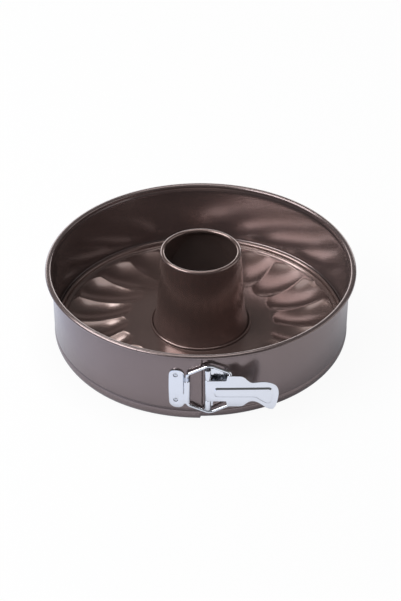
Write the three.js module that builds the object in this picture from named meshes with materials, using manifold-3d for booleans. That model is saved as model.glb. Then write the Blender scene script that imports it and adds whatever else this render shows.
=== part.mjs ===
// Springform cake pan: a side band drawn shut by a toggle clasp, around a loose fluted base with a tube.
// Millimetres, +Z up, the clasp at the front (-Y), the origin on the pan's axis at table level.
import * as THREE from 'three';
import { mergeVertices } from 'three/addons/utils/BufferGeometryUtils.js';
import Module from 'manifold-3d';

const wasm = await Module();
wasm.setup();

// Sheet and fits
const SHEET = 0.6;
const FIT = 0.3;
const LAYER_GAP = 0.35;

// Side band
const BAND_INNER_R = 128.4;
const BAND_HEIGHT = 68;
const RIM_ROLL_HALF = new THREE.Vector2(3.1, 2);
const RIM_ROLL_TURN = 290;
const GROOVE_TOP_Z = 14;
const GROOVE_Z = 9;
const GROOVE_DEPTH = 0.2;
const FOOT_R = 3.4;
const LIP_WIDTH = 4.5;
const NOTCH_ANGLE = -22.5;
const NOTCH_GAP = 0.3;
const TONGUE_TOP_GAP = 2.1;
const TONGUE_END_ANGLE = 0.7;
const TONGUE_CORNER = 1.2;
const RAMP_FROM = -75;
const RAMP_TO = -30;
const BAND_STEP = 6;
const LIP_INNER_R = BAND_INNER_R - LIP_WIDTH;
const BAND_FACE_R = BAND_INNER_R + SHEET;
const OVERLAP_FACE_R = BAND_FACE_R + LAYER_GAP + SHEET;

// Fluted base
const FLOOR_Z = 6.5;
const SKIRT_ROOM = 1.3;
const SKIRT_R = BAND_INNER_R - SKIRT_ROOM;
const SKIRT_BOTTOM_Z = 1.6;
const RIDGE_INSET = 3.1;
const RIDGE_R = BAND_INNER_R - RIDGE_INSET;
const RIDGE_Z = 11.3;
const STEP_INSET = 5.4;
const STEP_R = BAND_INNER_R - STEP_INSET;
const STEP_RISE = 1.1;
const FLUTES = 20;
const FLUTE_COLUMNS = 4;
const FLUTE_INNER_R = 64;
const FLUTE_EDGE = 1.5;
const FLUTE_OUTER_R = STEP_R - FLUTE_EDGE;
const FLUTE_MID_R = (FLUTE_OUTER_R + FLUTE_INNER_R) / 2;
const FLUTE_HALF = (FLUTE_OUTER_R - FLUTE_INNER_R) / 2;
const FLUTE_DEPTH = 5.6;
const FLUTE_POWER = 2.15;
const FLUTE_CREST = 0.41;
const FLUTE_ROWS = [-1, -0.791, -0.443, 0, 0.443, 0.791, 1];
const FLUTE_PHASE = 17.15;
const SWIRL = 5.3;
const SWIRL_POWER = 1.5;
const SWIRL_INSET = 3.5;
const SWIRL_OUTER_R = FLUTE_OUTER_R - SWIRL_INSET;

// Chimney tube
const TUBE_HEIGHT = 81.5;
const TUBE_TOP_R = 35;
const TUBE_ROLL_R = 1.95;
const TUBE_FOOT_R = 42.3;
const TUBE_FLANGE_R = 47;
const COLLAR_RISE = 1.6;

// Clasp
const CLASP_Z = 33.4;
const CLASP_SHEET = 0.9;
const WIRE_R = 1.3;
const PIVOT_X = 5.65;
const PIVOT_STANDOFF = 3.1;
const EAR_X = 24;
const EAR_STANDOFF = 2.3;
const PIVOT = new THREE.Vector2(PIVOT_X, -BAND_FACE_R - PIVOT_STANDOFF);
const EAR_PIVOT = new THREE.Vector2(EAR_X, -BAND_FACE_R - EAR_STANDOFF);
const BARREL_R = 2.65;
const BARREL_HALF = 20;
const PIN_R = 1.2;
const PIN_RECESS = 0.4;
const HOOK_U = -10.8;
const HOOK_ROOM = 2.4;
const HOOK_LIP = 1.9;
const HOOK_HALF = 10.9;
const PLATE_U = -19.6;
const PLATE_HALF = new THREE.Vector2(6.2, 19.2);
const PLATE_DROP = 1.2;
const PLATE_CORNER = 5.5;
const PLATE_STEPS = 8;
const LEAF_END = 30;
const LEAF_TOP = 9.5;
const LEAF_MARGIN = 1;
const LEAF_CORNER = 2.5;
const LEAF_TUCK = 0.5;
const WINDOW_ROOM = 1.2;
const CATCH_RIVET_SHIFT = 0.8;
const CATCH_RIVET_Z = 12.7;
const LEAF_RIVET_U = 17;
const LEAF_RIVET_Z = 6;
const RIVET_HEAD_R = 2;
const RIVET_DOME = 0.3;
const RIVET_SHANK_R = 1.1;
const LEVER_HALF = 10.4;
const KNUCKLE_HALF = LEVER_HALF;
const LEVER_REACH = 57.55;
const LEVER_SHOULDER = new THREE.Vector2(21.4, 15.6);
const SHOULDER_CORNER = 1;
const SHOULDER_LEAN = 0.8;
const EAR_R = 2.6;
const EAR_TOP = 13.3;
const BAIL_RUN_HALF = 15.5;
const BAIL_EAR_HALF = 16.2;
const BAIL_PEAK_HALF = 24.3;
const BAIL_PEAK = 18.2;
const BAIL_SIDES = 10;

const { clamp, degToRad, lerp, radToDeg, smoothstep } = THREE.MathUtils;
const vec2 = (x, y) => new THREE.Vector2(x, y);

// A point at a radius and an angle from the front, counted toward the right.
function around(r, degrees, z) {
  const a = degToRad(degrees);
  return new THREE.Vector3(r * Math.sin(a), -r * Math.cos(a), z);
}

// Points along an arc, both ends included.
function arc(centre, radius, from, to, steps) {
  const points = [];
  for (let i = 0; i <= steps; i += 1) {
    const a = degToRad(from + ((to - from) * i) / steps);
    points.push(vec2(centre.x + radius * Math.cos(a), centre.y + radius * Math.sin(a)));
  }
  return points;
}

// The two faces of a sheet that follows a centreline, mitred at its corners.
function sheetFaces(line, thickness) {
  const left = [];
  const right = [];
  line.forEach((p, i) => {
    const back = i > 0 ? p.clone().sub(line[i - 1]).normalize() : null;
    const ahead = i < line.length - 1 ? line[i + 1].clone().sub(p).normalize() : back;
    const along = ahead.clone().add(back ?? ahead).normalize();
    const normal = vec2(-along.y, along.x);
    const reach = thickness / 2 / Math.max(along.dot(ahead), 0.5);
    left.push(p.clone().addScaledVector(normal, reach));
    right.push(p.clone().addScaledVector(normal, -reach));
  });
  return { left, right };
}

// The closed outline of that sheet between two of its points.
function sheetOutline({ left, right }, from = 0, to = left.length - 1) {
  return left.slice(from, to + 1).concat(right.slice(from, to + 1).reverse());
}

// A closed surface collected ring by ring.
class Skin {
  constructor() {
    this.points = [];
  }

  join(a, b) {
    a.forEach((p, i) => {
      const j = (i + 1) % a.length;
      this.points.push(p, b[i], b[j], p, b[j], a[j]);
    });
  }

  cap(ring, flat, atStart) {
    const keep = THREE.ShapeUtils.area(flat) > 0 === atStart;
    THREE.ShapeUtils.triangulateShape(flat, []).forEach(([i, j, k]) => {
      this.points.push(ring[i], ring[keep ? j : k], ring[keep ? k : j]);
    });
  }

  geometry() {
    return outward(mergeVertices(new THREE.BufferGeometry().setFromPoints(this.points), 1e-4));
  }
}

// The same surface with its faces turned outward.
function outward(geometry) {
  const at = geometry.attributes.position;
  const index = geometry.index.array;
  const [a, b, c] = [new THREE.Vector3(), new THREE.Vector3(), new THREE.Vector3()];
  let volume = 0;
  for (let i = 0; i < index.length; i += 3) {
    a.fromBufferAttribute(at, index[i]);
    b.fromBufferAttribute(at, index[i + 1]);
    c.fromBufferAttribute(at, index[i + 2]);
    volume += a.dot(b.cross(c));
  }
  if (volume < 0) {
    for (let i = 0; i < index.length; i += 3) {
      [index[i], index[i + 1]] = [index[i + 1], index[i]];
    }
  }
  geometry.computeVertexNormals();
  return geometry;
}

// Solids for adding and cutting.
function solid(geometry) {
  const bare = geometry.clone();
  bare.deleteAttribute('normal');
  bare.deleteAttribute('uv');
  const welded = outward(mergeVertices(bare, 1e-4));
  const vertProperties = new Float32Array(welded.attributes.position.array);
  const triVerts = new Uint32Array(welded.index.array);
  return new wasm.Manifold(new wasm.Mesh({ numProp: 3, vertProperties, triVerts }));
}

function surface(body) {
  const mesh = body.getMesh();
  const geometry = new THREE.BufferGeometry();
  geometry.setAttribute('position', new THREE.BufferAttribute(new Float32Array(mesh.vertProperties), 3));
  geometry.setIndex(new THREE.BufferAttribute(new Uint32Array(mesh.triVerts), 1));
  geometry.computeVertexNormals();
  return geometry;
}

function prism(shape, depth) {
  return new THREE.ExtrudeGeometry(shape, { depth, bevelEnabled: false, curveSegments: 6 });
}

function upright(radius, zFrom, zTo, at) {
  const rod = new THREE.CylinderGeometry(radius, radius, zTo - zFrom, 18).rotateX(Math.PI / 2);
  return rod.translate(at.x, at.y, (zFrom + zTo) / 2);
}

// A clasp sheet lying round the band, trimmed to an outline drawn as seen from the front.
function curvedPlate(outline, faceR, from, to) {
  const middle = faceR + FIT + CLASP_SHEET / 2;
  const line = [];
  for (let i = 0; i <= PLATE_STEPS; i += 1) {
    const p = around(middle, radToDeg((from + ((to - from) * i) / PLATE_STEPS) / faceR), 0);
    line.push(vec2(p.x, p.y));
  }
  const side = new THREE.Shape(sheetOutline(sheetFaces(line, CLASP_SHEET)));
  const strip = prism(side, BAND_HEIGHT);
  const cutter = prism(outline, BAND_INNER_R).rotateX(Math.PI / 2).translate(0, 0, CLASP_Z);
  return solid(strip).intersect(solid(cutter.translate(0, -BAND_INNER_R / 2, 0)));
}

// Centreline of the band's sheet from the free edge of the rim roll to the edge of the foot lip.
function bandLine(offset) {
  const wall = BAND_INNER_R + SHEET / 2 + offset;
  const roll = vec2(BAND_INNER_R + RIM_ROLL_HALF.x + offset, BAND_HEIGHT - RIM_ROLL_HALF.y);
  const half = RIM_ROLL_HALF.clone().subScalar(SHEET / 2);
  const foot = vec2(BAND_INNER_R + GROOVE_DEPTH + SHEET / 2 - FOOT_R, SHEET / 2 + FOOT_R);
  const line = arc(vec2(0, 0), 1, 180 - RIM_ROLL_TURN, 180, 8).map((p) => p.multiply(half).add(roll));
  line.push(vec2(wall, BAND_HEIGHT - 2 * RIM_ROLL_HALF.y - TONGUE_TOP_GAP));
  line.push(vec2(wall, GROOVE_TOP_Z), vec2(wall + GROOVE_DEPTH, GROOVE_Z));
  line.push(...arc(foot, FOOT_R + offset, 0, -90, 4), vec2(LIP_INNER_R, 0));
  line.forEach((p) => {
    p.y = Math.max(p.y, SHEET / 2);
  });
  return line;
}

// First and last centreline points that carry on into the tongue.
const TONGUE_FIRST = 9;
const TONGUE_LAST = 14;

// The band runs from its inner end at the notch, once round, and on past the notch as the outer tongue.
function bandGeometry() {
  const skin = new Skin();
  const start = NOTCH_ANGLE + NOTCH_GAP;
  const notch = NOTCH_ANGLE + 360 - NOTCH_GAP;
  const end = TONGUE_END_ANGLE + 360;
  const facesAt = (degrees) => {
    const lift = smoothstep(degrees, 360 + RAMP_FROM, 360 + RAMP_TO) * (SHEET + LAYER_GAP);
    return sheetFaces(bandLine(lift), SHEET);
  };
  const placed = (flat, degrees) => flat.map((p) => around(p.x, degrees, p.y));
  const first = sheetOutline(facesAt(start));
  let ring = placed(first, start);
  skin.cap(ring, first, true);
  const steps = Math.round((notch - start) / BAND_STEP);
  for (let i = 1; i <= steps; i += 1) {
    const degrees = start + ((notch - start) * i) / steps;
    const next = placed(sheetOutline(facesAt(degrees)), degrees);
    skin.join(ring, next);
    ring = next;
  }
  const faces = facesAt(notch);
  const rim = sheetOutline(faces, 0, TONGUE_FIRST);
  const lip = sheetOutline(faces, TONGUE_LAST);
  skin.cap(placed(rim, notch), rim, false);
  skin.cap(placed(lip, notch), lip, false);
  const tongue = sheetOutline(faces, TONGUE_FIRST, TONGUE_LAST);
  ring = placed(tongue, notch);
  const tongueSteps = Math.round((end - notch) / BAND_STEP);
  for (let i = 1; i <= tongueSteps; i += 1) {
    const degrees = notch + ((end - notch) * i) / tongueSteps;
    const trim = i === tongueSteps ? TONGUE_CORNER : 0;
    const next = tongue.map((p) => around(p.x, degrees - trim * Math.max(0, 1 - p.y / GROOVE_Z), p.y));
    skin.join(ring, next);
    ring = next;
  }
  skin.cap(ring, tongue, false);
  return skin.geometry();
}

// Depth of the pressed flutes below the floor at a radius and a place between two crests.
function fluteDepth(r, across) {
  const out = Math.abs((r - FLUTE_MID_R) / FLUTE_HALF) ** FLUTE_POWER;
  return FLUTE_DEPTH * Math.max(0, 1 - out - FLUTE_CREST * across * across);
}

// Centreline of the base sheet from the collar round the tube to the turned-down skirt.
function baseLine() {
  const floor = FLOOR_Z - SHEET / 2;
  const collar = TUBE_FOOT_R + FIT + SHEET / 2;
  const line = [vec2(collar, FLOOR_Z + COLLAR_RISE), vec2(collar, FLOOR_Z + 0.4), vec2(collar + 1.3, floor)];
  FLUTE_ROWS.forEach((share) => line.push(vec2(FLUTE_MID_R + share * FLUTE_HALF, floor)));
  line.push(vec2(STEP_R - 0.5, floor + 0.1), vec2(STEP_R, floor + STEP_RISE));
  line.push(vec2(STEP_R + 0.8, floor + STEP_RISE + 0.2), vec2(RIDGE_R - 0.6, RIDGE_Z - 0.9));
  line.push(vec2(RIDGE_R + 0.3, RIDGE_Z - SHEET / 2), vec2(RIDGE_R + 1.3, RIDGE_Z - 0.7));
  line.push(vec2(SKIRT_R - SHEET / 2, FLOOR_Z), vec2(SKIRT_R - SHEET / 2, SKIRT_BOTTOM_Z));
  return line;
}

function baseGeometry() {
  const skin = new Skin();
  const columns = FLUTES * FLUTE_COLUMNS;
  const outline = sheetOutline(sheetFaces(baseLine(), SHEET));
  const rings = [];
  for (let i = 0; i < columns; i += 1) {
    const across = ((i % FLUTE_COLUMNS) / FLUTE_COLUMNS) * 2 - 1;
    rings.push(outline.map((p) => {
      const inward = clamp((SWIRL_OUTER_R - p.x) / (SWIRL_OUTER_R - FLUTE_INNER_R), 0, 1);
      const turn = SWIRL * inward ** SWIRL_POWER;
      const sunk = p.x > FLUTE_INNER_R && p.x < STEP_R - 1 ? fluteDepth(p.x, across) : 0;
      return around(p.x, (360 * i) / columns + FLUTE_PHASE - turn, p.y - sunk);
    }));
  }
  rings.forEach((ring, i) => skin.join(ring, rings[(i + 1) % columns]));
  return skin.geometry();
}

// The tube: rolled inward at the top, flared at the foot, flanged under the base.
function tubeGeometry() {
  const roll = vec2(TUBE_TOP_R - TUBE_ROLL_R, TUBE_HEIGHT - TUBE_ROLL_R);
  const wall = TUBE_FOOT_R - SHEET / 2;
  const flange = FLOOR_Z - SHEET - FIT - SHEET / 2;
  const line = arc(roll, TUBE_ROLL_R - SHEET / 2, 250, 0, 6);
  const taper = (share, rise) => vec2(lerp(TUBE_TOP_R, TUBE_FOOT_R, share), TUBE_HEIGHT * rise);
  line.push(taper(0.315, 0.534), taper(0.493, 0.307), taper(0.712, 0.16));
  line.push(vec2(wall, FLOOR_Z + COLLAR_RISE));
  line.push(vec2(wall, flange), vec2(TUBE_FLANGE_R, flange));
  const outline = sheetOutline(sheetFaces(line, SHEET));
  outline.push(outline[0].clone());
  return new THREE.LatheGeometry(outline.reverse(), 40).rotateX(Math.PI / 2);
}

// A countersunk rivet with a low round head, or with extra room the hole for one, in a plate on the band.
function rivet(faceR, u, z, depth, extra) {
  const top = FIT + CLASP_SHEET;
  const head = RIVET_HEAD_R + extra;
  const shank = RIVET_SHANK_R + extra;
  const crown = top + RIVET_DOME + extra;
  const profile = [
    vec2(0, -depth), vec2(shank, -depth), vec2(shank, FIT), vec2(head, top),
    vec2(head, top + extra), vec2(0.7 * head, crown - 0.3 * RIVET_DOME), vec2(0, crown),
  ];
  const degrees = radToDeg(u / faceR);
  const turn = new THREE.Quaternion().setFromUnitVectors(new THREE.Vector3(0, 1, 0), around(1, degrees, 0));
  const foot = around(faceR, degrees, z);
  return new THREE.LatheGeometry(profile, 12).applyQuaternion(turn).translate(foot.x, foot.y, foot.z);
}

const catchRivets = [CATCH_RIVET_Z, -CATCH_RIVET_Z].map((z) => (depth, extra) => (
  rivet(OVERLAP_FACE_R, PLATE_U - CATCH_RIVET_SHIFT, CLASP_Z + z, depth, extra)
));
const leafRivets = [LEAF_RIVET_Z, -LEAF_RIVET_Z].map((z) => (depth, extra) => (
  rivet(BAND_FACE_R, LEAF_RIVET_U, CLASP_Z + z, depth, extra)
));

function drilled(body, rivets, depth) {
  return rivets.reduce((left, hole) => left.subtract(solid(hole(depth, FIT))), body);
}

// Centre of the bail's wire as it lies in the hook, and the hook's sheet line, as arc length and height.
const HOOK_TURN_R = WIRE_R + FIT + CLASP_SHEET / 2;
const HOOK_BASE = FIT + CLASP_SHEET / 2;
const HOOK_TOP = HOOK_BASE + 2 * HOOK_TURN_R + HOOK_ROOM;

function onOverlap(u, h) {
  const p = around(OVERLAP_FACE_R + h, radToDeg(u / OVERLAP_FACE_R), 0);
  return vec2(p.x, p.y);
}

const HOOKED = onOverlap(HOOK_U, HOOK_BASE + HOOK_TURN_R);

function catchGeometry() {
  const { x: halfU, y: halfZ } = PLATE_HALF;
  const outline = new THREE.Shape();
  const reachU = halfU - PLATE_CORNER;
  const upperZ = halfZ - PLATE_CORNER - PLATE_DROP;
  const lowerZ = PLATE_CORNER - halfZ - PLATE_DROP;
  outline.absarc(PLATE_U + reachU, upperZ, PLATE_CORNER, 0, Math.PI / 2);
  outline.absarc(PLATE_U - reachU, upperZ, PLATE_CORNER, Math.PI / 2, Math.PI);
  outline.absarc(PLATE_U - reachU, lowerZ, PLATE_CORNER, Math.PI, Math.PI * 1.5);
  outline.absarc(PLATE_U + reachU, lowerZ, PLATE_CORNER, Math.PI * 1.5, Math.PI * 2);
  const plate = curvedPlate(outline, OVERLAP_FACE_R, PLATE_U - halfU - 1, PLATE_U + halfU + 1);
  const line = [vec2(PLATE_U + halfU - 3, HOOK_BASE)];
  line.push(...arc(vec2(HOOK_U, HOOK_BASE + HOOK_TURN_R), HOOK_TURN_R, -90, 0, 5));
  line.push(...arc(vec2(HOOK_U, HOOK_TOP - HOOK_TURN_R), HOOK_TURN_R, 0, 90, 5));
  line.push(vec2(HOOK_U - HOOK_LIP, HOOK_TOP));
  const side = sheetOutline(sheetFaces(line, CLASP_SHEET)).map((p) => onOverlap(p.x, p.y));
  const hook = prism(new THREE.Shape(side), 2 * HOOK_HALF).translate(0, 0, CLASP_Z - HOOK_HALF);
  return surface(drilled(plate.add(solid(hook)), catchRivets, FIT));
}

function leafGeometry() {
  const inner = PIVOT.x - BARREL_R + LEAF_TUCK;
  const clear = PIVOT.x + BARREL_R + WINDOW_ROOM;
  const split = KNUCKLE_HALF + FIT;
  const low = -split - LEAF_MARGIN;
  const outline = new THREE.Shape([
    vec2(inner, BARREL_HALF), vec2(inner, split), vec2(clear, split), vec2(clear, -split),
    vec2(inner, -split), vec2(inner, -BARREL_HALF), vec2(clear, -BARREL_HALF),
    vec2(clear + LEAF_MARGIN, low),
    vec2(LEAF_END - LEAF_CORNER, low), vec2(LEAF_END, low + LEAF_CORNER),
    vec2(LEAF_END, LEAF_TOP - 1.2 * LEAF_CORNER), vec2(LEAF_END - 1.2 * LEAF_CORNER, LEAF_TOP),
    vec2(clear + 2 * WINDOW_ROOM, BARREL_HALF - LEAF_MARGIN),
  ]);
  const plate = curvedPlate(outline, BAND_FACE_R, inner - 1, LEAF_END + 1);
  const upper = upright(BARREL_R, CLASP_Z + split, CLASP_Z + BARREL_HALF, PIVOT);
  const lower = upright(BARREL_R, CLASP_Z - BARREL_HALF, CLASP_Z - split, PIVOT);
  const bore = upright(PIN_R + FIT, CLASP_Z - BARREL_HALF - 1, CLASP_Z + BARREL_HALF + 1, PIVOT);
  const body = plate.add(solid(upper)).add(solid(lower)).subtract(solid(bore));
  return surface(drilled(body, leafRivets, FIT));
}

// The lever's pressed plate, its knuckle and the two ears that hold the bail.
function leverGeometry() {
  const { x: shoulderX, y: shoulderZ } = LEVER_SHOULDER;
  const lean = shoulderX - SHOULDER_LEAN;
  const turned = shoulderX + 1.2 * SHOULDER_CORNER;
  const x = (share) => PIVOT.x + share * LEVER_REACH;
  const z = (share) => share * shoulderZ;
  const outline = new THREE.Shape();
  outline.moveTo(PIVOT.x, -LEVER_HALF);
  outline.lineTo(lean, -LEVER_HALF);
  outline.lineTo(shoulderX, -shoulderZ + SHOULDER_CORNER);
  outline.quadraticCurveTo(shoulderX, -shoulderZ, turned, -shoulderZ);
  outline.lineTo(x(0.458), -shoulderZ);
  outline.bezierCurveTo(x(0.527), -shoulderZ, x(0.545), z(-0.667), x(0.632), z(-0.647));
  outline.bezierCurveTo(x(0.753), z(-0.673), x(0.805), z(-1.179), x(0.91), z(-1.179));
  outline.bezierCurveTo(x(0.97), z(-1.179), x(1), z(-0.385), x(1), z(-0.115));
  outline.bezierCurveTo(x(1), z(0.353), x(0.927), z(0.615), x(0.788), z(0.615));
  outline.bezierCurveTo(x(0.718), z(0.615), x(0.684), z(0.558), x(0.632), z(0.564));
  outline.bezierCurveTo(x(0.545), z(0.609), x(0.536), z(0.962), x(0.458), z(0.981));
  outline.lineTo(turned, shoulderZ);
  outline.quadraticCurveTo(shoulderX, shoulderZ, shoulderX, shoulderZ - SHOULDER_CORNER);
  outline.lineTo(lean, LEVER_HALF);
  outline.lineTo(PIVOT.x, LEVER_HALF);
  const face = PIVOT.y - BARREL_R;
  const blank = prism(outline, CLASP_SHEET).rotateX(Math.PI / 2);
  const plate = blank.translate(0, face + CLASP_SHEET, CLASP_Z);
  const ear = new THREE.Shape();
  ear.moveTo(EAR_PIVOT.x - EAR_R, face + CLASP_SHEET / 2);
  ear.lineTo(EAR_PIVOT.x + EAR_R, face + CLASP_SHEET / 2);
  ear.absarc(EAR_PIVOT.x, EAR_PIVOT.y, EAR_R, 0, Math.PI);
  const upper = prism(ear, CLASP_SHEET).translate(0, 0, CLASP_Z + EAR_TOP - CLASP_SHEET);
  const lower = prism(ear, CLASP_SHEET).translate(0, 0, CLASP_Z - EAR_TOP);
  const knuckle = upright(BARREL_R, CLASP_Z - KNUCKLE_HALF, CLASP_Z + KNUCKLE_HALF, PIVOT);
  const pinBore = upright(PIN_R + FIT, CLASP_Z - KNUCKLE_HALF - 1, CLASP_Z + KNUCKLE_HALF + 1, PIVOT);
  const wireBore = upright(WIRE_R + FIT, CLASP_Z - EAR_TOP - 1, CLASP_Z + EAR_TOP + 1, EAR_PIVOT);
  const body = solid(plate).add(solid(knuckle)).add(solid(upper)).add(solid(lower));
  return surface(body.subtract(solid(pinBore)).subtract(solid(wireBore)));
}

// The bail: a closed wire hexagon in the upright plane through the hook and the ears.
function bailGeometry() {
  const span = EAR_PIVOT.clone().sub(HOOKED);
  const length = span.length();
  const corners = [
    [vec2(0, -BAIL_RUN_HALF), 2.4], [vec2(0, BAIL_RUN_HALF), 2.4], [vec2(BAIL_PEAK, BAIL_PEAK_HALF), 3.5],
    [vec2(length, BAIL_EAR_HALF), 2], [vec2(length, -BAIL_EAR_HALF), 2],
    [vec2(BAIL_PEAK, -BAIL_PEAK_HALF), 3.5],
  ];
  const path = [];
  corners.forEach(([p, cut], i) => {
    const [before] = corners[(i + corners.length - 1) % corners.length];
    const [after] = corners[(i + 1) % corners.length];
    const from = before.clone().sub(p).setLength(cut).add(p);
    const to = after.clone().sub(p).setLength(cut).add(p);
    path.push(...new THREE.QuadraticBezierCurve(from, p, to).getPoints(4));
  });
  const along = new THREE.Vector3(span.x / length, span.y / length, 0);
  const normal = new THREE.Vector3(along.y, -along.x, 0);
  const rings = path.map((p, i) => {
    const before = path[(i + path.length - 1) % path.length];
    const after = path[(i + 1) % path.length];
    const run = after.clone().sub(before).normalize();
    const side = along.clone().multiplyScalar(-run.y).add(new THREE.Vector3(0, 0, run.x));
    const centre = new THREE.Vector3(HOOKED.x, HOOKED.y, CLASP_Z + p.y).addScaledVector(along, p.x);
    return Array.from({ length: BAIL_SIDES }, (_, k) => {
      const a = (2 * Math.PI * k) / BAIL_SIDES;
      const edge = centre.clone().addScaledVector(side, WIRE_R * Math.cos(a));
      return edge.addScaledVector(normal, WIRE_R * Math.sin(a));
    });
  });
  const skin = new Skin();
  rings.forEach((ring, i) => skin.join(ring, rings[(i + 1) % rings.length]));
  return skin.geometry();
}

const pan = new THREE.Group();
pan.name = 'springform_pan';

function add(name, geometry, color, roughness, metalness) {
  const mesh = new THREE.Mesh(geometry, new THREE.MeshStandardMaterial({ color, roughness, metalness }));
  mesh.name = name;
  pan.add(mesh);
}

const catchShank = SHEET - 0.05;
const leafShank = SHEET - 0.1;
const pierced = drilled(solid(bandGeometry()), catchRivets, SHEET + LAYER_GAP * 0.85);
add('side_band', surface(drilled(pierced, leafRivets, 2 * SHEET)), 0x5f5560, 0.4, 0.6);
add('base_plate', baseGeometry(), 0x4a3f3e, 0.4, 0.6);
add('centre_tube', tubeGeometry(), 0x453b3a, 0.4, 0.6);
add('catch_plate', catchGeometry(), 0xd4d8de, 0.2, 1);
add('catch_rivet_upper', catchRivets[0](catchShank, 0), 0xb9bdc4, 0.3, 1);
add('catch_rivet_lower', catchRivets[1](catchShank, 0), 0xb9bdc4, 0.3, 1);
add('hinge_leaf', leafGeometry(), 0xc8ccd3, 0.2, 1);
add('leaf_rivet_upper', leafRivets[0](leafShank, 0), 0xb9bdc4, 0.3, 1);
add('leaf_rivet_lower', leafRivets[1](leafShank, 0), 0xb9bdc4, 0.3, 1);
const pinHalf = BARREL_HALF - PIN_RECESS;
add('hinge_pin', upright(PIN_R, CLASP_Z - pinHalf, CLASP_Z + pinHalf, PIVOT), 0xaeb3ba, 0.3, 1);
add('lever', leverGeometry(), 0xd8dce2, 0.2, 1);
add('bail', bailGeometry(), 0xcfd3da, 0.2, 1);

export default pan;
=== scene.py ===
# %% [markdown]
# A springform cake pan
# The pan is a hoop of coated steel whose ends overlap at the front, where a chromed toggle clasp draws them
# together. Inside it lies a loose fluted base with a chimney tube. The solids of the part are loaded first as a
# fixed frame, and every piece below is made in the same place, only finer.

# %% Load the part as a fixed frame
import math

import bmesh
import bpy
from mathutils import Matrix, Vector
from mathutils.geometry import interpolate_bezier


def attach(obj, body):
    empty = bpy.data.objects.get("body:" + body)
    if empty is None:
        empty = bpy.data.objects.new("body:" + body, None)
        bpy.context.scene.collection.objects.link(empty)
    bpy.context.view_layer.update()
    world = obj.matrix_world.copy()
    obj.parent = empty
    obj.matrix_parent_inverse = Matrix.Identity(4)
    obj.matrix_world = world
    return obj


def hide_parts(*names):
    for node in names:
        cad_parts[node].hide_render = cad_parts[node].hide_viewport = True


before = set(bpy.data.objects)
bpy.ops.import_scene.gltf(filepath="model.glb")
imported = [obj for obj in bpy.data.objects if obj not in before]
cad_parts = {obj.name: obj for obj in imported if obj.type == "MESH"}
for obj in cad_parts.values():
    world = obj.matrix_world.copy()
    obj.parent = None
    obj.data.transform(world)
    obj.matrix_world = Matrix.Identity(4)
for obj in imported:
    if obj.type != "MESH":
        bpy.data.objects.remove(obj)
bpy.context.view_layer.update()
MM = 0.001

# %% [markdown]
# Maths on shader sockets
# A finish needs small sums such as "gloss plus a little noise". Adding a Math node for each by hand hides the sum,
# so a small class wraps a socket and lets Python's own operators add the nodes.

# %% A socket that takes part in sums


class Field:
    def __init__(self, tree, out):
        self.tree = tree
        self.out = out

    def node(self, kind, settings=None, sockets=None, out=0):
        made = self.tree.nodes.new(kind)
        for key, value in (settings or {}).items():
            if key == "stops":
                ramp = made.color_ramp
                while len(ramp.elements) < len(value):
                    ramp.elements.new(0.5)
                for stop, (position, grey) in zip(ramp.elements, value):
                    stop.position = position
                    stop.color = (grey, grey, grey, 1)
            else:
                setattr(made, key, value)
        for key, value in (sockets or {}).items():
            socket = made.inputs[key]
            if isinstance(value, Field):
                self.tree.links.new(value.out, socket)
            else:
                socket.default_value = value
        return Field(self.tree, made.outputs[out])

    def sum(self, operation, a, b):
        return self.node("ShaderNodeMath", {"operation": operation}, {0: a, 1: b})

    def __add__(self, other):
        return self.sum("ADD", self, other)

    def __radd__(self, other):
        return self.sum("ADD", other, self)

    def __sub__(self, other):
        return self.sum("SUBTRACT", self, other)

    def __mul__(self, other):
        return self.sum("MULTIPLY", self, other)


def start_finish(name):
    material = bpy.data.materials.new(name)
    material.use_nodes = True
    tree = material.node_tree
    shader = tree.nodes["Principled BSDF"]
    return material, shader, Field(tree, tree.nodes.new("ShaderNodeTexCoord").outputs["Object"])


def feed(place, shader, socket, value):
    place.tree.links.new(value.out, shader.inputs[socket])


def blend(place, factor, first, second):
    """Mix two colours."""
    return place.node("ShaderNodeMix", {"data_type": "RGBA"}, {"Factor": factor, 6: first, 7: second}, out=2)


print("finishes are written as sums of", Field.__name__, "objects")

# %% [markdown]
# The non-stick coating
# The sheet has a bronze-brown metallic lacquer. Seen close it is a fine sparkle of flakes under a smooth skin, and
# from a step away its gloss drifts a little from place to place. Noise at three sizes gives this: the finest is the
# flakes, a coarser one ripples the skin, and the coarsest moves the colour and the roughness. Shade is painted into
# the band's colour as two thin dark lines on its outer face, in the groove at its foot and under its rim. Lengths in
# a finish are in metres.

# %% The coating as a finish
OUTER_FACE = 0.1287
# How dark the painted shade lines are, as a share of the dark tone.
SHADE_DARKNESS = 0.25


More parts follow.
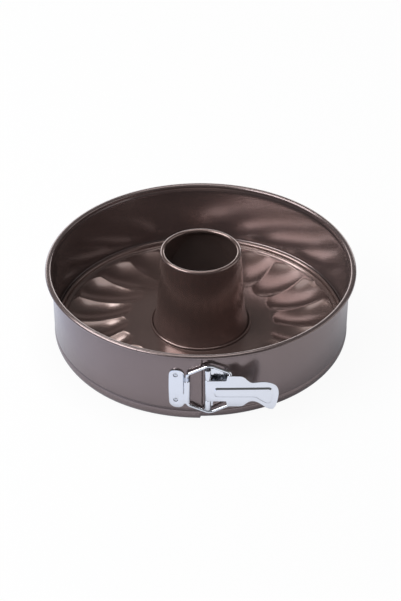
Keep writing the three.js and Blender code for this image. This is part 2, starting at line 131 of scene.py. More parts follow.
def coating(name, dark, light, gloss, metal, coat, corners=()):
    material, shader, place = start_finish(name)
    flakes = place.node("ShaderNodeTexNoise", None, {"Vector": place, "Scale": 2600.0, "Detail": 2.0})
    drift = place.node("ShaderNodeTexNoise", None, {"Vector": place, "Scale": 18.0, "Detail": 3.0})
    skin = place.node("ShaderNodeTexNoise", None, {"Vector": place, "Scale": 520.0, "Detail": 2.0})
    sparkle = place.node("ShaderNodeValToRGB", {"stops": [(0.35, 0.0), (0.72, 1.0)]}, {"Fac": flakes})
    colour = blend(place, sparkle * 0.55 + drift * 0.45, (*dark, 1), (*light, 1))
    if corners:
        height = place.node("ShaderNodeSeparateXYZ", None, {0: place}, out=2)
        flat = place.node("ShaderNodeVectorMath", {"operation": "MULTIPLY"}, {0: place, 1: (1, 1, 0)})
        radius = place.node("ShaderNodeVectorMath", {"operation": "LENGTH"}, {0: flat}, out=1)
        outside = place.node("ShaderNodeMath", {"operation": "GREATER_THAN"}, {0: radius, 1: OUTER_FACE})
    # Painted shade: each (height, reach) darkens the outer face in a thin line where shade falls.
    for z, reach in corners:
        away = place.node("ShaderNodeMath", {"operation": "ABSOLUTE"}, {0: height - z})
        in_painted_shade = place.node("ShaderNodeMapRange", None, {"Value": away, "From Min": reach, "From Max": reach / 2})
        colour = blend(place, in_painted_shade * outside * 0.5, colour, (*(c * SHADE_DARKNESS for c in dark), 1))
    feed(place, shader, "Base Color", colour)
    feed(place, shader, "Roughness", gloss + drift * 0.06 - sparkle * 0.04)
    ripple = place.node("ShaderNodeBump", None, {"Height": skin, "Strength": 0.02, "Distance": 0.0004})
    feed(place, shader, "Normal", ripple)
    shader.inputs["Metallic"].default_value = metal
    shader.inputs["Coat Weight"].default_value = coat
    shader.inputs["Coat Roughness"].default_value = 0.12
    return material


# Painted shade lines on the band's outer face: under the rim and in the groove at the foot, as (height, reach) in
# metres.
BAND_SHADE_LINES = ((0.0627, 0.0016), (0.0099, 0.0011))
band_coat = coating("band_coat", (0.19, 0.142, 0.136), (0.3, 0.235, 0.226), 0.2, 0.72, 0.5, BAND_SHADE_LINES)
base_coat = coating("base_coat", (0.19, 0.127, 0.112), (0.3, 0.205, 0.182), 0.22, 0.72, 1.0)
print("coatings:", band_coat.name, base_coat.name)

# %% [markdown]
# The plated clasp
# The clasp is pressed from steel and plated bright. Plating is almost a mirror, with faint polishing marks along
# the sheet and a slight unevenness. Stretched noise gives the marks, and the rest is left to real reflections.

# %% Plating and plain steel as finishes


def plating(name, colour, gloss, marks):
    material, shader, place = start_finish(name)
    along = place.node("ShaderNodeMapping", None, {"Vector": place, "Scale": (60.0, 60.0, 1500.0)})
    lines = place.node("ShaderNodeTexNoise", None, {"Vector": along, "Scale": 1.0, "Detail": 4.0})
    cloud = place.node("ShaderNodeTexNoise", None, {"Vector": place, "Scale": 90.0, "Detail": 2.0})
    paler = tuple(min(1.0, c * 1.06) for c in colour)
    feed(place, shader, "Base Color", blend(place, cloud, (*colour, 1), (*paler, 1)))
    feed(place, shader, "Roughness", gloss + lines * marks + cloud * 0.03)
    ripple = place.node("ShaderNodeBump", None, {"Height": lines, "Strength": 0.03, "Distance": 0.0002})
    feed(place, shader, "Normal", ripple)
    shader.inputs["Metallic"].default_value = 1.0
    return material


clasp_plating = plating("clasp_plating", (0.83, 0.845, 0.875), 0.09, 0.07)
rivet_steel = plating("rivet_steel", (0.7, 0.72, 0.75), 0.2, 0.14)
print("plating:", clasp_plating.name, rivet_steel.name)

# %% [markdown]
# Profiles and spinning
# Every coated piece is a sheet turned about the pan's axis. A sheet like that is drawn as one line, spun round the
# axis, and given its thickness last with a Solidify modifier, so that both faces stay parallel everywhere. Pieces
# are drawn in millimetres and degrees, and brought to metres when they are finished.

# %% Helpers for lines, spins and finished pieces
SHEET = 0.6
FIT = 0.3


def arc(x, z, radius, first, last, steps):
    angles = [math.radians(first + (last - first) * i / steps) for i in range(steps + 1)]
    return [(x + radius * math.cos(a), z + radius * math.sin(a)) for a in angles]


def draw_line(bm, points):
    """A line in the upright plane at the front, from (radius, height) pairs."""
    verts = [bm.verts.new((0, -r, z)) for r, z in points]
    edges = [bm.edges.new(pair) for pair in zip(verts, verts[1:])]
    return verts + edges


def turn(bm, geom, degrees, steps, about=(0, 0), merge=False):
    """Spin geometry about an upright axis, and give back the edges it ends on."""
    made = bmesh.ops.spin(
        bm,
        geom=geom,
        cent=(*about, 0),
        axis=(0, 0, 1),
        angle=math.radians(degrees),
        steps=steps,
        use_merge=merge,
    )
    return made["geom_last"]


def finished(bm, name, material, body, node, thickness=None, bevel=None, crease=32):
    """Make the bmesh, drawn in millimetres, a piece that rides on a body and stands for a solid."""
    bmesh.ops.remove_doubles(bm, verts=bm.verts, dist=0.002)
    bmesh.ops.recalc_face_normals(bm, faces=bm.faces)
    bmesh.ops.scale(bm, vec=(MM, MM, MM), verts=bm.verts)
    mesh = bpy.data.meshes.new(name)
    bm.to_mesh(mesh)
    bm.free()
    mesh.shade_smooth()
    mesh.set_sharp_from_angle(angle=math.radians(crease))
    mesh.materials.append(material)
    piece = bpy.data.objects.new(name, mesh)
    bpy.context.scene.collection.objects.link(piece)
    if thickness:
        wall = piece.modifiers.new("wall", "SOLIDIFY")
        wall.thickness = thickness * MM
        wall.offset = 0
        wall.use_even_offset = True
        wall.use_quality_normals = True
    if bevel:
        edge = piece.modifiers.new("edge", "BEVEL")
        edge.width = bevel * MM
        edge.segments = 2
        edge.limit_method = "ANGLE"
        edge.angle_limit = math.radians(50)
        edge.harden_normals = False
    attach(piece, body)
    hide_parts(node)
    print(name, "has", len(mesh.polygons), "faces")


# %% [markdown]
# The side band
# The band is one strip. Its rim is rolled outward and flattened, and its foot is grooved and turns under in a round
# bend to a short lip. Near the front the left end rises over the right end by one sheet, stops its bead at a notch
# and runs on as a plain tongue under the catch. It could be a ring with a cut, but then the two layers would not
# show, so the hoop is spun from the inner end once round, and the tongue is spun on from there.

# %% The band's line
BAND_R = 128.4
BAND_TOP = 68.0
ROLL_X = 132.06
ROLL_WIDE = 2.5
ROLL_HIGH = 1.95
FOOT_R = 4.8
FOOT_RISE = 0.5
LIP_R = 123.9
BULGE = 0.2
LAYER_GAP = 0.35
LAYER = SHEET + LAYER_GAP
RAMP_FROM = -75
RAMP = 45
NOTCH = -22.5
TONGUE_TOP = 63.0
TONGUE_END = 0.7
TONGUE_FOOT = 46
FADE = 2.2
BEAD_INNER_R = 130
SPREAD = 1.0
SPREAD_Z = 8.0
CUT_FROM = -6
CUT_TOP = 9
CUT_BACK = -1.2
NOTCH_GAP = 0.04
EDGE = 0.05
WALL_R = BAND_R + SHEET / 2
FOOT_X = WALL_R + BULGE - FOOT_R
FOOT_Z = SHEET / 2 + FOOT_R + FOOT_RISE

roll = arc(0, 0, 1, -110, 180, 26)
roll = [(x * (ROLL_WIDE - SHEET / 2), z * (ROLL_HIGH - SHEET / 2)) for x, z in roll]
roll = [(ROLL_X + x, BAND_TOP - ROLL_HIGH + z) for x, z in roll]
flare = [(129.8, 65.2), (129.6, 64.4), (129.3, 63.6), (129.05, TONGUE_TOP), (128.83, 62), (128.73, 61)]
wall = [(WALL_R, z) for z in (60, 56, 48, 40, 32, 24, 17, 14, 12)]
groove = [(0, 11.4), (-0.05, 11.1), (-0.22, 10.92), (-0.42, 10.78), (-0.55, 10.55), (-0.57, 10.15)]
groove += [(-0.5, 9.7), (-0.36, 9.25), (-0.18, 8.8), (0, 8.35), (0.12, 7.9), (0.19, 7.3), (BULGE, 6.6)]
foot = arc(FOOT_X, FOOT_Z, FOOT_R, 0, -90, 14) + [(LIP_R, FOOT_Z - FOOT_R)]
band_line = roll + flare + wall + [(WALL_R + out, z) for out, z in groove] + foot
tongue_r = FOOT_X + FOOT_R * math.cos(math.radians(TONGUE_FOOT))
tongue_line = [(r, z) for r, z in band_line if z <= TONGUE_TOP and r >= tongue_r]
print("band line of", len(band_line), "points, tongue of", len(tongue_line))

# %% The hoop and its tongue


def angle_at(co):
    return math.degrees(math.atan2(co.x, -co.y))


def ease(t):
    t = min(t, 1.0)
    return t * t * (3 - 2 * t)


def raise_layer(vert, lift):
    """Move a point out by a lift, square to the sheet, further at the foot and never below the table."""
    r = math.hypot(vert.co.x, vert.co.y)
    z = vert.co.z
    if z > TONGUE_TOP:
        lift *= 1 - ease((z - TONGUE_TOP) / FADE) if r < BEAD_INNER_R else 0
    out = Vector((1.0, 0.0))
    if z < FOOT_Z:
        out = Vector((max(r - FOOT_X, 0.0), z - FOOT_Z)).normalized()
    lift *= 1 + SPREAD * max(1 - z / SPREAD_Z, 0.0)
    grown = (r + out.x * lift) / r
    vert.co = (vert.co.x * grown, vert.co.y * grown, max(z + out.y * lift, SHEET / 2))


bm = bmesh.new()
line = draw_line(bm, band_line)
at_notch = Matrix.Rotation(math.radians(NOTCH + NOTCH_GAP), 3, "Z")
bmesh.ops.rotate(bm, verts=bm.verts, cent=(0, 0, 0), matrix=at_notch)
line = turn(bm, line, EDGE, 1)
line = turn(bm, line, 360 - 2 * NOTCH_GAP - 2 * EDGE, 300)
turn(bm, line, EDGE, 1)
for vert in bm.verts:
    at = angle_at(vert.co)
    if RAMP_FROM < at < NOTCH:
        raise_layer(vert, LAYER * ease((at - RAMP_FROM) / RAMP))
hoop = set(bm.verts)
line = draw_line(bm, tongue_line)
fresh = [v for v in bm.verts if v not in hoop]
at_notch = Matrix.Rotation(math.radians(NOTCH - NOTCH_GAP), 3, "Z")
bmesh.ops.rotate(bm, verts=fresh, cent=(0, 0, 0), matrix=at_notch)
line = turn(bm, line, EDGE, 1)
turn(bm, line, TONGUE_END - NOTCH + NOTCH_GAP - EDGE, 24)
for vert in [v for v in bm.verts if v not in hoop]:
    raise_layer(vert, LAYER)
    at = angle_at(vert.co)
    if at > CUT_FROM and vert.co.z < CUT_TOP:
        back = CUT_BACK * (1 - vert.co.z / CUT_TOP) * (at - CUT_FROM) / (TONGUE_END - CUT_FROM)
        vert.co = Matrix.Rotation(math.radians(back), 3, "Z") @ vert.co
finished(bm, "coated_band", band_coat, "band", "side_band", SHEET)

# %% [markdown]
# The fluted base
# The base is pressed from one disc. Twenty scallops swirl round the tube, two raised rings carry the edge of the
# cake, and the rim turns down inside the band. A displaced disc would blur the crests, so the spun disc is pressed
# with straight crests, each on a row of edges, and its rings of points are then turned by the swirl.

# %% The base's line
FLOOR = 6.5
TUBE_FOOT_R = 42.3
COLLAR_R = TUBE_FOOT_R + FIT + SHEET / 2
ROWS = 52
FLUTES = 20
FLUTE_CUTS = 22
FLUTE_MID = 92.75
FLUTE_HALF = 28.75
FLUTE_INNER_R = 61
FLUTE_OUTER_R = 122.2
FLUTE_DEPTH = 5.6
FLUTE_POWER = 2.15
FLUTE_CREST = 0.41
FLUTE_SOFT = 0.0012
FLUTE_PHASE = 17.15
SWIRL = 5.3
SWIRL_POWER = 1.5
SWIRL_OUTER_R = 118
SWIRL_RUN = 54
low = FLOOR - SHEET / 2
collar = arc(COLLAR_R + 0.75, FLOOR + 0.75, 0.75, -10, 180, 10)
collar += arc(COLLAR_R + 0.35, low + 0.35, 0.35, 180, 270, 4)
pressed = [(46.5, low), (52, low), (58, low)]
pressed += [(62 + 60 * i / ROWS, low) for i in range(ROWS + 1)]
steps = [(121.9, 0.03), (122.15, 0.15), (122.4, 0.4), (123, 0.88), (123.3, 1.05), (123.7, 1.1), (124, 1.3)]
steps += [(124.2, 1.9), (124.3, 2.7), (124.4, 3.4), (124.6, 3.85), (124.9, 4.15), (125.5, 4.6), (125.8, 4.76)]
steps += [(126.15, 4.72), (126.45, 4.4), (126.65, 3.6), (126.78, 1.2), (126.8, -1.2)]
base_line = collar + pressed + [(r, low + rise) for r, rise in steps] + [(126.8, 2.8)]
print("base line of", len(base_line), "points")

# %% The pressed base


def flute_depth(r, across):
    room = 1 - abs((r - FLUTE_MID) / FLUTE_HALF) ** FLUTE_POWER - FLUTE_CREST * across * across
    return FLUTE_DEPTH / 2 * (room + math.sqrt(room * room + FLUTE_SOFT))


def swirl(r):
    return SWIRL * min(max((SWIRL_OUTER_R - r) / SWIRL_RUN, 0), 1) ** SWIRL_POWER


bm = bmesh.new()
turn(bm, draw_line(bm, base_line), 360, FLUTES * FLUTE_CUTS, merge=True)
for vert in bm.verts:
    r = math.hypot(vert.co.x, vert.co.y)
    across = (angle_at(vert.co) * FLUTES / 360) % 1 * 2 - 1
    if FLUTE_INNER_R < r < FLUTE_OUTER_R:
        vert.co.z -= flute_depth(r, across)
    vert.co = Matrix.Rotation(math.radians(FLUTE_PHASE - swirl(r)), 3, "Z") @ vert.co
finished(bm, "fluted_base", base_coat, "base", "base_plate", SHEET, crease=60)

# %% [markdown]
# The chimney tube
# The tube lets hot air through the middle of the cake. It tapers upward so that the cake slides off, its top edge
# is rolled inward, and its foot flares and is seamed under the base. One spun line makes all of it.

# %% The tube
TUBE_TOP = 81.5
TUBE_TOP_R = 35
TUBE_ROLL = 1.95
tube_line = arc(TUBE_TOP_R - TUBE_ROLL, TUBE_TOP - TUBE_ROLL, TUBE_ROLL - SHEET / 2, 250, 0, 22)
taper = [(34.7, 77.5), (34.95, 74), (36.0, 62), (36.9, 50), (37.6, 39), (38.25, 30), (38.8, 23.5)]
splay = [(39.3, 18.8), (39.95, 14.8), (40.7, 11.8), (41.4, 9.8), (41.8, 8.7), (42.0, 7.9), (42.0, 6.6)]
tube_line += taper + splay + arc(42.9, 6.2, 0.9, 180, 270, 5) + [(45, 5.3), (46.9, 5.3)]
bm = bmesh.new()
turn(bm, draw_line(bm, tube_line), 360, 192, merge=True)
finished(bm, "chimney_tube", base_coat, "base", "centre_tube", SHEET, crease=60)

# %% [markdown]
# The clasp's sheet pieces
# The catch, the hinge leaf and the lever are all pressed from one gauge of sheet. Each starts as a flat outline that
# is filled, and an edge of it is spun round the pin or the bail's wire. The catch and the leaf are laid on the curve
# of the band, and the lever stays flat.

# %% Helpers for the clasp
CLASP_Z = 33.4
GAUGE = 0.9
WIRE_R = 1.3
HOLE_R = 1.95
OVERLAP_R = BAND_R + 2 * SHEET + LAYER_GAP
SINGLE_R = BAND_R + SHEET
PIVOT_OUT = 3.1
EARS_OUT = 2.3
PIVOT = Vector((5.65, -SINGLE_R - PIVOT_OUT))
EARS = Vector((24.0, -SINGLE_R - EARS_OUT))


def loop(bm, points):
    verts = [bm.verts.new(p) for p in points]
    return [bm.edges.new(pair) for pair in zip(verts, verts[1:] + verts[:1])]


def ring(x, y, z, radius, sides, flat="xz"):
    spots = []
    for i in range(sides):
        a = 2 * math.pi * i / sides
        dx, d2 = radius * math.cos(a), radius * math.sin(a)
        spots.append((x + dx, y, z + d2) if flat == "xz" else (x + dx, y + d2, z))
    return spots


def rounded(cx, cz, half_x, half_z, corner, steps=8):
    spots = []
    for sx, sz, first in ((1, 1, 0), (-1, 1, 90), (-1, -1, 180), (1, -1, 270)):
        x, z = cx + sx * (half_x - corner), cz + sz * (half_z - corner)
        spots += arc(x, z, corner, first, first + 90, steps)
    return spots


def lay_on_band(bm, radius):
    """Bend a flat blank, drawn as (along, -out, up), round the band."""
    for vert in bm.verts:
        a = vert.co.x / radius
        r = radius - vert.co.y
        vert.co = (r * math.sin(a), -r * math.cos(a), vert.co.z)


def slice_upright(bm, first, last, count):
    for i in range(1, count):
        x = first + (last - first) * i / count
        bmesh.ops.bisect_plane(
            bm, geom=bm.verts[:] + bm.edges[:] + bm.faces[:], plane_co=(x, 0, 0), plane_no=(1, 0, 0)
        )


print("clasp stands at", CLASP_Z, "mm")

# %% [markdown]
# The catch
# The catch is a rounded plate, pressed up a little inside its border and riveted to the tongue. Its right edge
# carries on as a strip that curls up and back over the bail's wire. The plate is a border loop bridged to a
# smaller, higher one, which is filled round the rivet holes. The strip is drawn out of the plate's edge: a
# straight run, a quarter spin, a short rise, another quarter spin and the lip.

# %% The catch plate and its hook
PLATE_X = -19.4
PLATE_Z = CLASP_Z - 1.2
PLATE_WIDE = 5.95
PLATE_HIGH = 19.2
PLATE_CORNER = 5.3
PLATE_BOW = 0.6
PRESSED = 0.3
CATCH_RIVET_X = -20.4
CATCH_RIVET_Z = 12.7
HOOK_X = -10.8
HOOK_HALF = 10.9
HOOK_ROOM = 2.4
HOOK_LIP = 1.9
BORDER = 1.1
TURN_R = WIRE_R + FIT + GAUGE / 2
MID = FIT + GAUGE / 2


def edge_at(bm, x, z_half, z_mid):
    for edge in bm.edges:
        a, b = edge.verts[0].co, edge.verts[1].co
        if abs(a.x - x) < 0.01 and abs(b.x - x) < 0.01 and abs(abs(a.z - b.z) - 2 * z_half) < 0.02:
            if abs((a.z + b.z) / 2 - z_mid) < 0.02:
                return [edge, *edge.verts]


def draw_out(bm, geom, dx, dy):
    edges = [g for g in geom if isinstance(g, bmesh.types.BMEdge)]
    made = bmesh.ops.extrude_edge_only(bm, edges=edges)["geom"]
    verts = [g for g in made if isinstance(g, bmesh.types.BMVert)]
    bmesh.ops.translate(bm, verts=verts, vec=(dx, dy, 0))
    return verts + [g for g in made if isinstance(g, bmesh.types.BMEdge) and set(g.verts) <= set(verts)]


def plate_line(inside, out):
    spots = rounded(PLATE_X, PLATE_Z, PLATE_WIDE - inside, PLATE_HIGH - inside, PLATE_CORNER - inside)
    straight = PLATE_HIGH - PLATE_CORNER
    left_z = [PLATE_Z + straight * part for part in (0.75, 0.5, 0.25, 0, -0.25, -0.5, -0.75)]
    left = len(spots) // 2
    spots[left:left] = [(PLATE_X - PLATE_WIDE + inside, z) for z in left_z]
    bowed = []
    for x, z in spots:
        bow = PLATE_BOW * (1 - ((z - PLATE_Z) / PLATE_HIGH) ** 2)
        bowed.append((x - bow if x < PLATE_X else x, -out, z))
    return bowed


bm = bmesh.new()
right = PLATE_X + PLATE_WIDE
border = loop(bm, plate_line(0, MID))
top = loop(bm, plate_line(BORDER, MID + PRESSED))
bmesh.ops.bridge_loops(bm, edges=border + top)
for dz in (CATCH_RIVET_Z, -CATCH_RIVET_Z):
    top += loop(bm, ring(CATCH_RIVET_X, -MID - PRESSED, CLASP_Z + dz, HOLE_R, 24))
bmesh.ops.triangle_fill(bm, edges=top, use_beauty=True)
strip_edge = [e for e in border if all(abs(v.co.x - right) < 0.001 for v in e.verts)]
bmesh.ops.bisect_edges(bm, edges=strip_edge, cuts=2)
for vert in bm.verts:
    if abs(vert.co.x - right) < 0.001 and abs(vert.co.z - CLASP_Z) < 8:
        vert.co.z = CLASP_Z + math.copysign(HOOK_HALF, vert.co.z - CLASP_Z)
slice_upright(bm, PLATE_X - PLATE_WIDE, right, 6)
end = edge_at(bm, right, HOOK_HALF, CLASP_Z)
end = draw_out(bm, end, HOOK_X - right, 0)
end = turn(bm, end, -90, 8, (HOOK_X, -MID - TURN_R))
end = draw_out(bm, end, 0, -HOOK_ROOM)
end = turn(bm, end, -90, 8, (HOOK_X, -MID - TURN_R - HOOK_ROOM))
draw_out(bm, end, -HOOK_LIP, 0)
lay_on_band(bm, OVERLAP_R)
finished(bm, "hooked_catch", clasp_plating, "band", "catch_plate", GAUGE, 0.22)

# %% [markdown]
# The hinge leaf
# The leaf is riveted to the single layer right of the tongue. Its left edge is cut into two tabs that curl round
# the pin, with room between them for the lever's own curl. Each tab's edge is spun most of the way round the pin.

# %% The hinge leaf
LEVER_HALF = 10.4
BARREL_HALF = 20.0
BARREL_R = 2.65
BARREL_ROOM = 1.2
CURL_R = BARREL_R - GAUGE / 2
CURL = 305
LEAF_END = 30
LEAF_RIVET_X = 17.0
LEAF_RIVET_Z = 6
split = LEVER_HALF + FIT
clear = PIVOT.x + BARREL_R + BARREL_ROOM
leaf_line = [(PIVOT.x, BARREL_HALF), (PIVOT.x, split), (clear, split), (clear, -split), (PIVOT.x, -split)]
leaf_line += [(PIVOT.x, -BARREL_HALF), (clear, -BARREL_HALF), (clear + 1, -split - 1), (27.5, -split - 1)]
leaf_line += [(LEAF_END, -split + 1.5), (LEAF_END, 6.5), (27, 9.5), (clear + 2.4, 19)]
bm = bmesh.new()
loop(bm, [(x, -MID, CLASP_Z + z) for x, z in leaf_line])
for dz in (LEAF_RIVET_Z, -LEAF_RIVET_Z):
    loop(bm, ring(LEAF_RIVET_X, -MID, CLASP_Z + dz, HOLE_R, 20))
bmesh.ops.triangle_fill(bm, edges=bm.edges[:], use_beauty=True)
slice_upright(bm, PIVOT.x, LEAF_END, 8)
tab_half = (BARREL_HALF - split) / 2
tab_z = (BARREL_HALF + split) / 2
tabs = [edge_at(bm, PIVOT.x, tab_half, CLASP_Z + sign * tab_z) for sign in (1, -1)]
lay_on_band(bm, SINGLE_R)
for tab in tabs:
    for vert in tab[1:]:
        vert.co.x = PIVOT.x
        vert.co.y = PIVOT.y + CURL_R
    turn(bm, tab, CURL, 26, PIVOT)
finished(bm, "hinge_leaf_sheet", clasp_plating, "band", "hinge_leaf", GAUGE, 0.18)

# %% [markdown]
# The lever
# The lever is pressed with broad shoulders, a waist and a drooping thumb end, and a raised panel stiffens it. The
# outline comes from short curves, the panel is inset and pushed out, and the left edge is curled round the pin. Two
# ears on its back hold the bail.

# %% The lever's outline and panel


def curve_through(pieces, steps=10):
    spots = []
    for p0, h0, h1, p1 in pieces:
        bend = interpolate_bezier(*(Vector((*p, 0)) for p in (p0, h0, h1, p1)), steps)
        spots += [(p.x, p.y) for p in bend[:-1]]
    return spots


SHOULDER_X = 21.4
SHOULDER_Z = 15.6
EAR_R = 2.6
EAR_Z = 13.3
PANEL_RISE = 1.0
PANEL_SLOPE = 1.5
lower = [(PIVOT.x, -LEVER_HALF), (13, -LEVER_HALF), (SHOULDER_X - 0.8, -LEVER_HALF)]
lower += [(SHOULDER_X, -SHOULDER_Z + 1), (SHOULDER_X + 0.3, -SHOULDER_Z + 0.3), (SHOULDER_X + 1.2, -SHOULDER_Z)]
tail = curve_through([
    ((32, -SHOULDER_Z), (36, -SHOULDER_Z), (37, -10.4), (42, -10.1)),
    ((42, -10.1), (49, -10.5), (52, -18.4), (58, -18.4)),
    ((58, -18.4), (61.5, -18.4), (63.2, -6), (63.2, -1.8)),
    ((63.2, -1.8), (63.2, 5.5), (59, 9.6), (51, 9.6)),
    ((51, 9.6), (47, 9.6), (45, 8.7), (42, 8.8)),
    ((42, 8.8), (37, 9.5), (36.5, SHOULDER_Z - 0.6), (32, SHOULDER_Z - 0.3)),
])
upper = [(32, SHOULDER_Z - 0.3), (SHOULDER_X + 1.2, SHOULDER_Z), (SHOULDER_X + 0.3, SHOULDER_Z - 0.3)]
upper += [(SHOULDER_X, SHOULDER_Z - 1), (SHOULDER_X - 0.8, LEVER_HALF), (13, LEVER_HALF), (PIVOT.x, LEVER_HALF)]
panel = curve_through([
    ((13.5, -5.9), (26, -5.9), (36, -5.9), (42, -5.9)),
    ((42, -5.9), (47, -5.9), (50, -12.4), (55.5, -12.4)),
    ((55.5, -12.4), (57.8, -12.4), (58.9, -5), (58.7, -1.5)),
    ((58.7, -1.5), (58.5, 2.6), (57, 4.1), (54.5, 4.1)),
    ((54.5, 4.1), (42, 3.9), (28, 3.7), (13.5, 3.6)),
    ((13.5, 3.6), (9.6, 3.5), (9.6, -5.8), (13.5, -5.9)),
])
LEVER_Y = PIVOT.y - CURL_R
print("lever outline of", len(lower + tail + upper), "points")

# %% The pressed lever
bm = bmesh.new()
loop(bm, [(x, LEVER_Y, CLASP_Z + z) for x, z in lower + tail + upper])
raised = loop(bm, [(x, LEVER_Y, CLASP_Z + z) for x, z in panel])
bmesh.ops.triangle_fill(bm, edges=bm.edges[:], use_beauty=True)
floor_face = bm.faces.new([e.verts[0] for e in raised])
floor_face.normal_update()
rise = PANEL_RISE if floor_face.normal.y < 0 else -PANEL_RISE
bmesh.ops.inset_region(bm, faces=[floor_face], thickness=PANEL_SLOPE, depth=rise, use_even_offset=True)
left = edge_at(bm, PIVOT.x, LEVER_HALF, CLASP_Z)
turn(bm, left, -CURL, 26, PIVOT)
for sign in (1, -1):
    z = CLASP_Z + sign * (EAR_Z - GAUGE / 2)
    tab = [(EARS.x - EAR_R, LEVER_Y, z), (EARS.x + EAR_R, LEVER_Y, z)]
    tab += [(x, y, z) for x, y in arc(EARS.x, EARS.y, EAR_R, 0, 180, 14)]
    edges = loop(bm, tab) + loop(bm, ring(EARS.x, EARS.y, z, WIRE_R + FIT, 24, "xy"))
    bmesh.ops.triangle_fill(bm, edges=edges, use_beauty=True)
finished(bm, "thumb_lever", clasp_plating, "lever", "lever", GAUGE, 0.22)

# %% [markdown]
# The bail
# The bail is a closed loop of wire bent to six corners, so that its long sides pass clear of the hinge's ends. A
# curve with a round bevel is the natural way to draw wire. It is then made a mesh, like the other pieces.

# %% The bail's wire
a_hook = HOOK_X / OVERLAP_R
hooked = Vector((math.sin(a_hook), -math.cos(a_hook))) * (OVERLAP_R + MID + TURN_R)
span = EARS - hooked
PEAK = (18.2, 24.3, 3.5)
corners = [(0, -15.5, 2.4), (0, 15.5, 2.4), PEAK]
corners += [(span.length, 16.2, 2), (span.length, -16.2, 2), (PEAK[0], -PEAK[1], PEAK[2])]
path = []
for i, (w, z, cut) in enumerate(corners):
    here = Vector((w, z, 0))
    before = Vector((*corners[i - 1][:2], 0))
    after = Vector((*corners[(i + 1) % len(corners)][:2], 0))
    first = here + (before - here).normalized() * cut
    last = here + (after - here).normalized() * cut
    path += interpolate_bezier(first, first.lerp(here, 0.6), last.lerp(here, 0.6), last, 12)
wire = bpy.data.curves.new("bail_line", "CURVE")
wire.dimensions = "3D"
wire.bevel_depth = WIRE_R
wire.bevel_resolution = 8
spline = wire.splines.new("POLY")
spline.points.add(len(path) - 1)
spline.use_cyclic_u = True
for point, p in zip(spline.points, path):
    flat = hooked + span.normalized() * p.x
    point.co = (flat.x, flat.y, CLASP_Z + p.y, 1)
drawn = bpy.data.objects.new("bail_line", wire)
bm = bmesh.new()
bm.from_mesh(drawn.to_mesh())
drawn.to_mesh_clear()
bpy.data.objects.remove(drawn)
finished(bm, "wire_bail", clasp_plating, "bail", "bail", crease=60)

# %% [markdown]
# Pin and rivets
# The pin and the four rivets are small turned pieces. A rivet has a low round head that stands on its plate and
# a shank in the band. The two in the catch sit a little lower, where the open bail passes over them. Each is
# one spun line, and the rivets are then laid against the band.

# %% The pin and the rivets
bm = bmesh.new()
PIN_RECESS = 0.4
half = BARREL_HALF - PIN_RECESS
pin_line = [(0, -half), (0.8, -half), (1.1, -half + 0.15), (1.2, -half + 0.4)]
pin_line += [(r, -z) for r, z in reversed(pin_line)]
turn(bm, draw_line(bm, pin_line), 360, 40, merge=True)
bmesh.ops.translate(bm, verts=bm.verts, vec=(PIVOT.x, PIVOT.y, CLASP_Z))
finished(bm, "pivot_pin", rivet_steel, "band", "hinge_pin")

SHANK_R = 1.1
HEAD = [(0, 0.2), (0.55, 0.16), (1.05, 0.05), (1.45, -0.12), (1.7, -0.35), (1.72, -0.5), (SHANK_R, -0.75)]
SUNK = 0.2
CATCH_TOP = FIT + GAUGE + PRESSED - SUNK
LEAF_TOP = FIT + GAUGE
stand = Matrix.Rotation(math.radians(90), 3, "X")
for node, radius, along, dz, plate_top, reach in (
    ("catch_rivet_upper", OVERLAP_R, CATCH_RIVET_X, CATCH_RIVET_Z, CATCH_TOP, 0.55),
    ("catch_rivet_lower", OVERLAP_R, CATCH_RIVET_X, -CATCH_RIVET_Z, CATCH_TOP, 0.55),
    ("leaf_rivet_upper", SINGLE_R, LEAF_RIVET_X, LEAF_RIVET_Z, LEAF_TOP, 0.5),
    ("leaf_rivet_lower", SINGLE_R, LEAF_RIVET_X, -LEAF_RIVET_Z, LEAF_TOP, 0.5),
):
    bm = bmesh.new()
    rivet_line = [(r, plate_top + h) for r, h in HEAD] + [(SHANK_R, -reach), (0, -reach)]
    turn(bm, draw_line(bm, rivet_line), 360, 28, merge=True)
    bmesh.ops.rotate(bm, verts=bm.verts, cent=(0, 0, 0), matrix=stand)
    bmesh.ops.translate(bm, verts=bm.verts, vec=(0, -radius, CLASP_Z + dz))
    around = Matrix.Rotation(along / radius, 3, "Z")
    bmesh.ops.rotate(bm, verts=bm.verts, cent=(0, 0, 0), matrix=around)
    finished(bm, node + "_head", rivet_steel, "band", node)

# %% [markdown]
# The paper
# The pan stands on white paper. The camera sees it white. What the clasp and the wall reflect of it is a glow that
# stands in for light: dimmer, cooler, a painted pool of light brighter on the left, and a painted shadow under the
# pan.
# The Light Path node tells the two apart. The matt paper is painted grey under the pan as a painted shadow, and a
# small share of it is left in the white for a shadow.

# %% The studio's paper
scene = bpy.context.scene
scene.view_settings.view_transform = "Standard"
FLOOR_DROP = -0.0004
bm = bmesh.new()
bmesh.ops.create_grid(bm, x_segments=2, y_segments=2, size=4.0)
floor_mesh = bpy.data.meshes.new("studio_floor")
bm.to_mesh(floor_mesh)
bm.free()
floor = bpy.data.objects.new("studio_floor", floor_mesh)
floor.location.z = FLOOR_DROP
scene.collection.objects.link(floor)
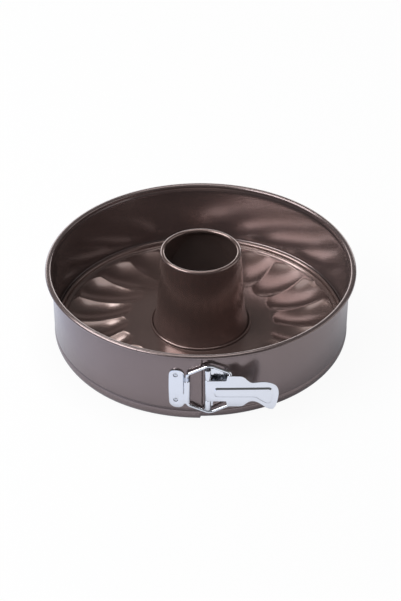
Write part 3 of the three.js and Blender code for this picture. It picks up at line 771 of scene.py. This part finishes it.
# Grey of the painted shadow under the pan.
PAINTED_SHADOW_GREY = (0.25, 0.25, 0.25, 1)
PALE = (0.9, 0.9, 0.9, 1)
WHITE = (1, 1, 1, 1)
WARM_SIDE = (0.92, 0.93, 1, 1)
COOL_SIDE = (0.72, 0.8, 1, 1)
paper, matt, place = start_finish("white_paper")
matt.inputs["Roughness"].default_value = 0.9
ray = place.tree.nodes.new("ShaderNodeLightPath").outputs
direct = Field(place.tree, ray["Is Camera Ray"])
bounced = Field(place.tree, ray["Is Glossy Ray"])
far = place.node("ShaderNodeVectorMath", {"operation": "LENGTH"}, {0: place}, out=1)
clear_of_painted_shadow = place.node("ShaderNodeMapRange", None, {"Value": far, "From Min": 0.11, "From Max": 0.16})
# Painted shadow: the matt paper is painted grey within about 0.11 m of the axis, fading out by 0.16 m.
feed(place, matt, "Base Color", blend(place, clear_of_painted_shadow, PAINTED_SHADOW_GREY, PALE))
across = place.node("ShaderNodeSeparateXYZ", None, {0: place})
leftward = place.node("ShaderNodeMapRange", None, {"Value": across, "From Min": 0.3, "From Max": -0.3})
# Painted light: for reflections the paper glows with a cooler tint on the left.
tint = blend(place, direct, blend(place, leftward, WARM_SIDE, COOL_SIDE), WHITE)
painted_glow = place.node("ShaderNodeEmission", None, {"Color": tint})
distant = place.node("ShaderNodeMapRange", None, {"Value": far, "From Min": 0.22, "From Max": 0.6})
# Painted light: for glossy rays the paper glows, brighter on the left and farther out, and not under the pan, a
# painted shadow.
share = direct * 0.95 + bounced * clear_of_painted_shadow * (leftward * 0.98 + 0.14 + distant * 0.2)
mixed = place.node("ShaderNodeMixShader", None, {0: share, 1: Field(place.tree, matt.outputs[0]), 2: painted_glow})
place.tree.links.new(mixed.out, place.tree.nodes["Material Output"].inputs[0])
floor_mesh.materials.append(paper)
print("paper has", len(place.tree.nodes), "nodes")

# %% [markdown]
# The lamps
# A strong lamp hangs high on the left and draws the rims. A small lamp at the back left shines in the flutes, and a
# low pale panel behind the pan draws the rings of its base. A weak lamp overhead and a pale card on the right fill
# in. Each lamp is given by its size and its glow, so a larger one is not dimmer to look at.

# %% The studio's light
world = bpy.data.worlds.new("studio")
scene.world = world
world.use_nodes = True
tree = world.node_tree
sky = tree.nodes["Background"]
sky.inputs["Color"].default_value = WHITE
camera_ray = Field(tree, tree.nodes.new("ShaderNodeLightPath").outputs["Is Camera Ray"])
tree.links.new((camera_ray * 0.9 + 0.1).out, sky.inputs["Strength"])
AIM = Vector((0, 0, 0.03))


def lamp(name, where, wide, tall, glow, tint=(1, 1, 1)):
    data = bpy.data.lights.new(name, "AREA")
    data.shape = "RECTANGLE"
    data.size = wide
    data.size_y = tall
    data.energy = glow * math.pi * wide * tall
    data.color = tint
    shown = bpy.data.objects.new(name, data)
    shown.location = where
    shown.rotation_euler = (AIM - Vector(where)).to_track_quat("-Z", "Y").to_euler()
    scene.collection.objects.link(shown)
    print(name, "gives", round(data.energy, 2), "W")


lamp("left_key", (-0.95, -0.3, 1.05), 1.4, 0.6, 6.6, (0.96, 0.97, 1))
lamp("back_glint", (-0.43, 0.585, 1.08), 0.22, 0.22, 6)
lamp("back_panel", (-0.2, 1.7, 0.42), 3.0, 0.75, 2.0)
lamp("overhead", (-0.1, 0.25, 1.6), 1.1, 1.1, 1.5)
lamp("right_card", (1.3, -0.1, 0.45), 1.6, 0.7, 0.8)

# %% [markdown]
# The camera
# The photograph was taken from the front and well above. The rim, the foot and the rings of the base are circles,
# so their ellipses give the tilt and the distance. The focal length is kept in pixels and turned into a lens here.

# %% The camera at the photograph's angle
FOCAL_PX = 1600
FRAME_PX = 601
SENSOR = 36
TILT = 35.433
camera = bpy.data.cameras.new("camera")
camera.sensor_width = SENSOR
camera.lens = FOCAL_PX / FRAME_PX * SENSOR
camera.clip_end = 20
shown = bpy.data.objects.new("camera", camera)
shown.location = (-0.0002015, -1.14781, 0.84463)
shown.rotation_euler = (math.radians(90 - TILT), 0, 0)
scene.collection.objects.link(shown)
scene.camera = shown
print("camera lens", round(camera.lens, 2))
